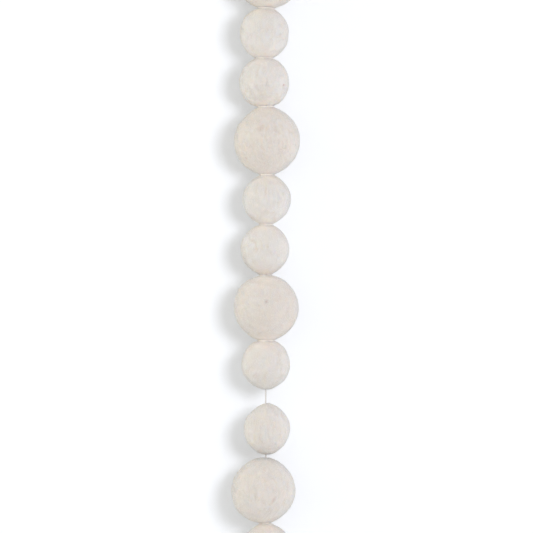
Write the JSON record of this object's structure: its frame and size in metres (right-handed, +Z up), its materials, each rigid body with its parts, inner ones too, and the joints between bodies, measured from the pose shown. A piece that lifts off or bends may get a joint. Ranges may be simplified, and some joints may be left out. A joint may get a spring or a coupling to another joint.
{
  "type": "felt ball garland",
  "caption": "Hanging garland of large and small cream wool felt balls strung on a thin cotton thread, with a tied hanging loop above and a stopper knot below.",
  "frame": {"origin": "the point at the inside top of the hanging loop where it bears on its hook or nail", "axes": "+Z up along the taut thread, so the balls hang from the origin towards -Z; the loop lies flat in the XZ plane, and +X is to the right when the garland is seen from the front, along +Y"},
  "size_m": [0.0271, 0.0258, 0.2846],
  "materials": {
    "wool_felt": "matt cream wool felt with a short fuzz",
    "cotton_thread": "matt off-white twisted cotton"
  },
  "bodies": {
    "root": {"large_ball_1": "wool_felt", "small_ball_1": "wool_felt", "small_ball_2": "wool_felt", "large_ball_2": "wool_felt", "small_ball_3": "wool_felt", "small_ball_4": "wool_felt", "large_ball_3": "wool_felt", "small_ball_5": "wool_felt", "small_ball_6": "wool_felt", "large_ball_4": "wool_felt", "small_ball_7": "wool_felt", "thread": "cotton_thread", "hanging_loop": "cotton_thread"}
  },
  "joints": []
}
